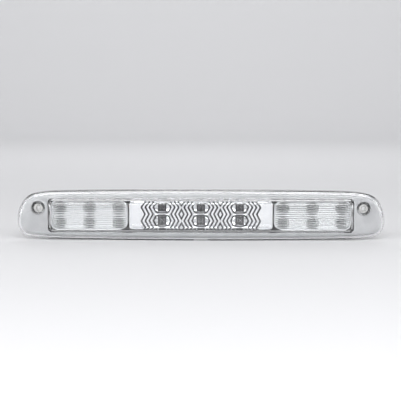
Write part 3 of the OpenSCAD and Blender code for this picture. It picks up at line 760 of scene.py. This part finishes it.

# %% [markdown]
# ## The brake reflector
#
# Each brake LED sits in a six-sided cup, and stepped hexagons spread out from it to the left and
# right. Seen from the front, the flat steps are white bands and the slopes between them are dark
# lines, whose shade is painted into the chrome's colour. All of it repeats, so one quarter of one
# LED's field is drawn with a few points, each strip between two lines of points. The quarter has
# two reaches: the longer one runs to the chamber's wall, the shorter one to the other row of LEDs.

# %% One quarter of a field
BRAKE_W, CHAMBER_H, FACE_H, RIM = 168, 37.2, 34.2, 11.25
FLOOR_FRONT, STEP_W, STEP_H, FIRST_TIP, GROOVE = -4.5, 4.65, 1.4, 9.3, 2.15
PITCH_X, PITCH_Z, SQUARE = 46, 15.9, 5.0
ROOF, ROOF_LINE, CORNER_CUT = 6.0, 1.3, 1.6
LEAN = 1 / math.tan(math.radians(62))
CUP_RISE, STEP_FALL, SHAFT, FIELD_END = 1.3, 0.45, 4, 38


def slant(tip, up, front):
    """A point on the slanted line whose tip lies at tip, at a height above the LED's middle."""
    return Vector((tip - up * LEAN, -front, up))


def hexagon_line(tip, roof, front):
    """A quarter of a closed hexagon with its corner cut: tip, slant, roof, middle."""
    corner = slant(tip, roof, front).x
    return [slant(tip, 0, front), slant(tip, roof - CORNER_CUT, front),
            Vector((corner - CORNER_CUT, -front, roof)), Vector((0, -front, roof))]


def quarter_field(reach):
    """A bmesh of the cup, slopes and steps of one quarter; slopes and shaft are marked for painted
    shade.
    """
    shape = bmesh.new()
    # A face layer for painted shade: 1 on the slopes, 0.6 in the LED's shaft, 0 elsewhere.
    groove = shape.faces.layers.float.new("groove")

    # dark is how much painted shade the strip's faces get.
    def strip(first, second, dark=0.0):
        for a, b, c, d in zip(first, first[1:], second[1:], second):
            shape.faces.new([shape.verts.new(p) for p in (a, b, c, d)])[groove] = dark

    square = [Vector((SQUARE, -FLOOR_FRONT, 0)), Vector((SQUARE, -FLOOR_FRONT, SQUARE - 0.3)),
              Vector((SQUARE - 0.3, -FLOOR_FRONT, SQUARE)), Vector((0, -FLOOR_FRONT, SQUARE))]
    deep = [Vector((p.x, -FLOOR_FRONT + SHAFT, p.z)) for p in square]
    front = FLOOR_FRONT + CUP_RISE
    cup = hexagon_line(FIRST_TIP, ROOF, front)
    front += STEP_H
    rim = hexagon_line(FIRST_TIP + GROOVE, ROOF + ROOF_LINE, front)
    # Painted shade: the shaft walls get 0.6 of it, the slopes all of it.
    strip(deep, square, 0.6)
    strip(square, cup)
    strip(cup, rim, 1.0)
    end = FIRST_TIP + STEP_W
    low = front - STEP_FALL
    wrap = [*rim, Vector((0, -front, reach)), slant(end, reach, low), slant(end, 0, low)]
    shape.faces.new([shape.verts.new(p) for p in wrap])
    for k in (1, 2, 3):
        tip = end + GROOVE
        front = low + STEP_H
        strip([slant(end, 0, low), slant(end, reach, low)],
              [slant(tip, 0, front), slant(tip, reach, front)], 1.0)
        end += STEP_W
        low = front - STEP_FALL
        far = [slant(end, 0, low), slant(end, reach, low)]
        if k == 3:
            far = [Vector((BRAKE_W / 2, -front, 0)), Vector((BRAKE_W / 2, -front, reach))]
        strip([slant(tip, 0, front), slant(tip, reach, front)], far)
    bottom = [shape.verts.new(p) for p in (Vector((0, -FLOOR_FRONT + SHAFT, 0)), *deep)]
    shape.faces.new(bottom)
    bmesh.ops.remove_doubles(shape, verts=shape.verts, dist=0.001)
    return shape


print("a quarter has", len(quarter_field(PITCH_Z / 2).faces), "faces")

# %% [markdown]
# Mirrors, copies and cuts turn the two quarters into the whole relief. Its edge is then drawn
# forwards and closed, which makes a solid of the air in front of the reflector. Cutting that air
# out of a rounded block leaves the reflector: face, walls and rim in one closed piece.

# %% The relief, and the block it is cut from


def gather(into, part, move, flips=(1, 1, 1)):
    """Adds a moved and flipped copy of a bmesh to another one."""
    copy = part.copy()
    bmesh.ops.scale(copy, vec=flips, verts=copy.verts)
    bmesh.ops.translate(copy, vec=move, verts=copy.verts)
    mesh = bpy.data.meshes.new("part")
    copy.to_mesh(mesh)
    copy.free()
    into.from_mesh(mesh)
    bpy.data.meshes.remove(mesh)


def trim(shape, x, keep_below):
    """Cuts a bmesh at a plane across X and drops one side."""
    bmesh.ops.bisect_plane(shape, geom=shape.verts[:] + shape.edges[:] + shape.faces[:],
                           dist=1e-4, plane_co=(x, 0, 0), plane_no=(1, 0, 0),
                           clear_outer=keep_below, clear_inner=not keep_below)


upper_out, upper_in = quarter_field(FACE_H / 2 - PITCH_Z / 2 + 0.6), quarter_field(PITCH_Z / 2)
relief = bmesh.new()
relief.faces.layers.float.new("groove")
for column in (-1, 0, 1):
    field = bmesh.new()
    field.faces.layers.float.new("groove")
    for side in (-1, 1):
        gather(field, upper_out, (0, 0, 0), (side, 1, 1))
        gather(field, upper_in, (0, 0, 0), (side, 1, -1))
    trim(field, FIELD_END if column == 1 else PITCH_X / 2, True)
    trim(field, -FIELD_END if column == -1 else -PITCH_X / 2, False)
    for up in (-1, 1):
        gather(relief, field, (column * PITCH_X, 0, MID_Z + up * PITCH_Z / 2),
               (1, 1, up))
    field.free()
bmesh.ops.remove_doubles(relief, verts=relief.verts, dist=0.002)
# The faces marked for painted shade, kept so they can be looked up after the cuts.
marks = relief.copy()
bmesh.ops.delete(marks, geom=[f for f in marks.faces
                              if f[marks.faces.layers.float["groove"]] < 0.5], context="FACES")
bmesh.ops.triangulate(marks, faces=marks.faces)
bmesh.ops.triangulate(relief, faces=relief.faces)
edge = [e for e in relief.edges if e.is_boundary]
print("relief:", len(relief.faces), "faces,", len(edge), "open edges,", len(marks.faces), "marked")
drawn = bmesh.ops.extrude_edge_only(relief, edges=edge)["geom"]
for vert in verts_of(drawn):
    vert.co.y = -RIM - 3
bmesh.ops.holes_fill(relief, edges=[e for e in relief.edges if e.is_boundary], sides=0)
bmesh.ops.recalc_face_normals(relief, faces=relief.faces)
bmesh.ops.scale(relief, vec=(MM, MM, MM), verts=relief.verts)
air = loose(relief, "air")


def thicken(shape, vec):
    """Extrudes the flat faces of a bmesh into a solid."""
    lift = bmesh.ops.extrude_face_region(shape, geom=shape.faces[:])["geom"]
    bmesh.ops.translate(shape, vec=vec, verts=verts_of(lift))
    bmesh.ops.recalc_face_normals(shape, faces=shape.faces)


def prism(name, width, height, corner_r, back, front, x=0.0):
    """A rounded block between two distances along the front, in metres, for carving."""
    shape = bmesh.new()
    start = box_ring(shape, width, height, corner_r, back, False)
    bmesh.ops.edgeloop_fill(shape, edges=start)
    thicken(shape, (0, back - front, 0))
    bmesh.ops.scale(shape, vec=(MM, MM, MM), verts=shape.verts)
    bmesh.ops.translate(shape, vec=(x * MM, 0, 0), verts=shape.verts)
    return loose(shape, name)


carve(air, prism("inside", BRAKE_W - 3, FACE_H, 4.5, -8, RIM + 2), "INTERSECT")
block = prism("brake_reflector_relief", BRAKE_W, CHAMBER_H, 6, -6, RIM)
carve(block, air)
print("brake reflector:", len(block.data.polygons), "faces")

# %% [markdown]
# The slopes keep their mark through the cuts by being looked up again: a face whose middle lies on
# a marked slope of the relief is marked too. The finish then paints shade on it by darkening its
# colour.

# %% Marking the slopes for painted shade
from mathutils.bvhtree import BVHTree


def mark_grooves(piece, marks):
    """Writes the painted-shade mark on the faces that lie on a marked slope."""
    tree = BVHTree.FromBMesh(marks)
    level = piece.data.attributes.new("groove", "FLOAT", "FACE")
    found = 0
    for polygon in piece.data.polygons:
        middle = polygon.center / MM
        _, normal, _, gap = tree.find_nearest(middle)
        hit = gap < 0.02 and abs(normal.dot(polygon.normal)) > 0.98
        level.data[polygon.index].value = 1.0 if hit else 0.0
        found += hit
    return found


# %% [markdown]
# The ears and bosses are small closed shapes that are welded on. The ears take the trim's pegs,
# and the bosses take the screws that hold the board, so each has its hole.

# %% Ears and bosses of the brake reflector
EAR_W, EAR_TIP, PEG_HOLE_R, BOSS_R, PILOT_R, PILOT_END = 9, 22.0, 1.15, 2.7, 1.55, -4.45
BACK_REFLECTOR, FRONT_BOARD = -6, -10


def bar_block(name, width, height, back, front, x, up, bevel=0.0):
    """A small block about a place on the lamp, in metres, with rounded edges if asked."""
    shape = bmesh.new()
    bmesh.ops.create_cube(shape, size=1)
    bmesh.ops.scale(shape, vec=(width * MM, (front - back) * MM, height * MM), verts=shape.verts)
    if bevel:
        bmesh.ops.bevel(shape, geom=shape.edges[:], offset=bevel * MM, offset_type="OFFSET",
                        segments=2, profile=0.5, affect="EDGES", clamp_overlap=True, material=-1)
    bmesh.ops.translate(shape, vec=(x * MM, -(front + back) / 2 * MM, (MID_Z + up) * MM),
                        verts=shape.verts)
    return loose(shape, name)


def add_ears(piece, places):
    """Welds on the ears that the trim's pegs pass through."""
    inner = CHAMBER_H / 2 - 0.5
    for x in places:
        for up in (-1, 1):
            ear = bar_block("ear", EAR_W, EAR_TIP - inner, FRONT_HOUSING, FRONT_HOUSING + EAR_T, x,
                            up * (EAR_TIP + inner) / 2)
            carve(ear, cylinder("peg_hole", PEG_HOLE_R, FRONT_HOUSING - 1,
                                FRONT_HOUSING + EAR_T + 1, x, MID_Z + up * PEG_Z, segments=20))
            carve(piece, ear, "UNION")


def add_bosses(piece, places):
    """Welds on the screw bosses behind a reflector and drills them."""
    for x in places:
        carve(piece, cylinder("boss", BOSS_R, FRONT_BOARD, BACK_REFLECTOR + 0.5, x, MID_Z, 24),
              "UNION")
        carve(piece, cylinder("pilot", PILOT_R, FRONT_BOARD - 1, PILOT_END, x, MID_Z, 24))


add_ears(block, (-PEG_X[0], PEG_X[0]))
add_bosses(block, (-77, -23, 23, 77))
sharpen(block, 25)
print("grooves found:", mark_grooves(block, marks), "of", len(block.data.polygons))
dress(block, "mirror_plastic", ["brake_reflector"])

# %% [markdown]
# ## The cargo lamps
#
# Each cargo lamp is a bright tray with six round cups, under a clear plate with half-round flutes
# on its back. The flutes run along the lamp and smear the cups into three soft upright bands. The
# tray is cut from a rounded block, and the cups are turned tools with a curved wall, because a
# straight cone would show one flat tone.

# %% Cargo reflectors
CARGO_X, CARGO_W, CARGO_R, CARGO_RIM = 131.8, 91.6, 10.0, 7.1
FRONT_TRAY, CUP_R, CUP_FOOT = -1.5, 7.8, 5.67
CARGO_LED_X, CARGO_LED_UP = (-34.8, 0, 34.8), 9.2
cup_wall = [(CUP_FOOT + (CUP_R - CUP_FOOT) * math.sin(a),
             FRONT_TRAY + (BACK_REFLECTOR - FRONT_TRAY) * math.cos(a))
            for a in [math.pi / 2 * k / 6 for k in range(7)]]
for side, word in SIDES:
    tray = prism("cargo_tray_" + word, CARGO_W, CHAMBER_H, CARGO_R, BACK_REFLECTOR, CARGO_RIM,
                 side * CARGO_X)
    carve(tray, prism("tray_air", CARGO_W - 3, FACE_H, CARGO_R - 1.5, FRONT_TRAY, CARGO_RIM + 2,
                      side * CARGO_X))
    for x in CARGO_LED_X:
        for up in (-1, 1):
            cup = [(0, BACK_REFLECTOR - 1), (CUP_FOOT, BACK_REFLECTOR - 1), *cup_wall,
                   (CUP_R, FRONT_TRAY + 1), (0, FRONT_TRAY + 1)]
            carve(tray, lathe("cup_tool", cup, side * CARGO_X + x, MID_Z + up * CARGO_LED_UP, 40))
    add_ears(tray, (side * PEG_X[1], side * PEG_X[2]))
    add_bosses(tray, (side * 114.4, side * 149.2))
    sharpen(tray, 30)
    dress(tray, "mirror_plastic", ["cargo_reflector_" + word])
    tray.data.materials[0] = FINISHES["satin_mirror"]

# %% [markdown]
# The flutes are drawn as a section: a row of arcs, closed by a straight line. It is extruded along
# the lamp, cut to the tray's rounded shape, and welded to the plate.

# %% Cargo inner lenses
PLATE_T, FLUTE_PITCH, FLUTE_R, FLUTES = 2.0, 2.4, 1.44, 6


def fluted_block(name, x, width):
    """Half-round flutes along X, in metres."""
    shape = bmesh.new()
    line = []
    for i in range(-FLUTES, FLUTES + 1):
        for k in range(7):
            across = FLUTE_PITCH * (k / 6 - 0.5)
            line.append((i * FLUTE_PITCH + across,
                         CARGO_RIM + 0.6 - math.sqrt(FLUTE_R ** 2 - across ** 2)))
    line += [(line[-1][0], CARGO_RIM + 0.5), (line[0][0], CARGO_RIM + 0.5)]
    verts = [shape.verts.new(((x - width / 2) * MM, -f * MM, (MID_Z + up) * MM)) for up, f in line]
    shape.faces.new(verts)
    bmesh.ops.remove_doubles(shape, verts=shape.verts, dist=1e-6)
    thicken(shape, (width * MM, 0, 0))
    return loose(shape, name)


for side, word in SIDES:
    x = side * CARGO_X
    plate = prism("fluted_plate_" + word, CARGO_W - 0.3, CHAMBER_H - 0.3, CARGO_R - 0.15,
                  CARGO_RIM, CARGO_RIM + PLATE_T, x)
    flutes = fluted_block("flutes", x, CARGO_W - 4)
    carve(flutes, prism("flute_bound", CARGO_W - 4, FACE_H - 0.8, CARGO_R - 2, CARGO_RIM - 2,
                        CARGO_RIM + 2, x), "INTERSECT")
    carve(plate, flutes, "UNION")
    sharpen(plate, 40)
    dress(plate, "fluted_lens", ["cargo_inner_lens_" + word])

# %% [markdown]
# ## The LEDs
#
# Each LED is a square package with a lead frame that shows as two upright bars, a darker chip
# between them, and a low clear dome. The brake LEDs also stand on black bases. The small closed
# shapes are placed at every LED and joined into one piece for each finish.

# %% LEDs
LED_W, LED_H, DOME_R, BASE_W = 7.6, 4.6, 2.43, 11
FRONT_LED = FRONT_BOARD + LED_H


def join(pieces, name, slot, stands_for=(), smooth_below=35):
    """One piece from several closed shapes."""
    shape = bmesh.new()
    for part in pieces:
        shape.from_mesh(part.data)
        spent = part.data
        bpy.data.objects.remove(part)
        bpy.data.meshes.remove(spent)
    made = loose(shape, name)
    sharpen(made, smooth_below)
    return dress(made, slot, stands_for)


def dome(x, up):
    """A low clear dome on an LED."""
    rim = math.acos(0.4)
    arc = [(DOME_R * math.sin(rim * k / 8),
            FRONT_LED - DOME_R * 0.4 + DOME_R * math.cos(rim * k / 8)) for k in range(9)]
    return lathe("dome", [*arc, (0, FRONT_LED - 0.05)], x, MID_Z + up, 32)


def led_set(places, name, stands_for, base_w=0):
    """All the LEDs of one board as four pieces, on black bases if they have a width."""
    bodies, bars, chips, domes = [], [], [], []
    for x, up in places:
        body = bar_block("body", LED_W, LED_W, FRONT_BOARD, FRONT_LED, x, up, 0.45)
        carve(body, bar_block("notch", 1.6, 1.6, FRONT_LED - 0.6, FRONT_LED + 1, x + LED_W / 2,
                              up + LED_W / 2))
        bodies.append(body)
        bars += [bar_block("bar", 1.5, 5.8, FRONT_LED - 0.2, FRONT_LED + 0.12, x + s * 2.3, up,
                           0.1) for s in (-1, 1)]
        bars += [bar_block("foot", 1.1, 1.4, FRONT_BOARD, FRONT_BOARD + 1.1, x + s * 2.0,
                           up + t * (LED_W / 2 + 0.3), 0.15) for s in (-1, 1) for t in (-1, 1)]
        chips.append(bar_block("chip", 1.9, 5.2, FRONT_LED - 0.2, FRONT_LED + 0.06, x, up, 0.08))
        if base_w:
            chips.append(bar_block("base", base_w, base_w, FRONT_BOARD, FRONT_BOARD + 0.8, x, up,
                                   0.2))
        domes.append(dome(x, up))
    join(bodies, name + "_bodies", "led_package", stands_for)
    join(bars, name + "_frames", "led_package").data.materials[0] = FINISHES["lead_frame"]
    join(chips, name + "_chips", "component_black")
    join(domes, name + "_domes", "clear_lens")


led_set([(i * PITCH_X, j * PITCH_Z / 2) for i in (-1, 0, 1) for j in (-1, 1)], "brake_led",
        ["brake_leds"], BASE_W)
for side, word in SIDES:
    led_set([(side * CARGO_X + x, j * CARGO_LED_UP) for x in CARGO_LED_X for j in (-1, 1)],
            "cargo_led_" + word, ["cargo_leds_" + word])

# %% [markdown]
# ## The screw sleeves
#
# A sleeve is turned from steel, so it is a section spun round the screw's axis. Its two ends have
# the small chamfers that a lathe leaves. A thin pale washer lies under each screw well, and it is
# what the clear wall of the well shows.

# %% Sleeves
SLEEVE = [(2.9, 0), (3.7, 0), (4.0, 0.3), (4.0, FRONT_WELL), (5.2, FRONT_WELL),
          (SLEEVE_RIM_R, FRONT_WELL + 0.3), (SLEEVE_RIM_R, FRONT_WELL + 0.7),
          (5.2, FRONT_WELL + 1), (2.9, FRONT_WELL + 1), (2.5, FRONT_WELL + 0.6),
          (2.5, 0.4), (2.9, 0)]
join([lathe("sleeve", SLEEVE, x) for x in SCREWS], "turned_sleeves", "sleeve_steel",
     ["screw_sleeves"])
WASHER_R, front = WELL_R + WELL_T, FRONT_HOUSING + WASHER_T
WASHER = [(4.2, FRONT_HOUSING), (WASHER_R, FRONT_HOUSING), (WASHER_R, front), (4.2, front),
          (4.2, FRONT_HOUSING)]
join([lathe("washer", WASHER, x) for x in SCREWS], "well_washers", "silver_trim")

# %% [markdown]
# ## Softened copies of CAD pieces
#
# A moulded or stamped part never has knife edges, and a tiny round is what catches the light along
# an edge. A CAD node's mesh is never changed, so each of these pieces starts as a copy of it: the
# loose triangles are merged, flat areas are made whole, and the sharp edges are bevelled.

# %% Softened copies


def softened(node, width):
    """A copy of a CAD node with its sharp edges rounded, which stands for the node."""
    slot = next(e["material_slot"] for e in frame["record"]["subparts"] if e["node"] == node)
    shape = bmesh.new()
    shape.from_mesh(NODES[node].data)
    bmesh.ops.remove_doubles(shape, verts=shape.verts, dist=1e-6)
    bmesh.ops.dissolve_limit(shape, angle_limit=math.radians(0.5), verts=shape.verts,
                             edges=shape.edges)
    bmesh.ops.recalc_face_normals(shape, faces=shape.faces)
    sharp = [e for e in shape.edges if len(e.link_faces) == 2
             and e.calc_face_angle(0) > math.radians(40)]
    bmesh.ops.bevel(shape, geom=sharp, offset=width * MM, offset_type="OFFSET", segments=2,
                    profile=0.5, affect="EDGES", clamp_overlap=True, material=-1)
    made = loose(shape, node + "_softened")
    sharpen(made, 40)
    dress(made, slot, [node])


for node, width in (("rear_housing", 0.3), ("connector_header", 0.25), ("vent_plugs", 0.3),
                    ("jumper_sockets", 0.3), ("protection_diodes", 0.3),
                    ("current_regulator", 0.2), ("board_screws", 0.12)):
    softened(node, width)

# %% [markdown]
# ## CAD pieces that keep their shape
#
# The rest of the lamp is right as the CAD model has it, so those nodes stay and only take the
# finish of their slot.

# %% Finishes for the CAD nodes
for entry in frame["record"]["subparts"]:
    kept = NODES[entry["node"]]
    kept.data.materials.clear()
    kept.data.materials.append(FINISHES[entry["material_slot"]])
print(len(NODES), "CAD nodes have their finishes")
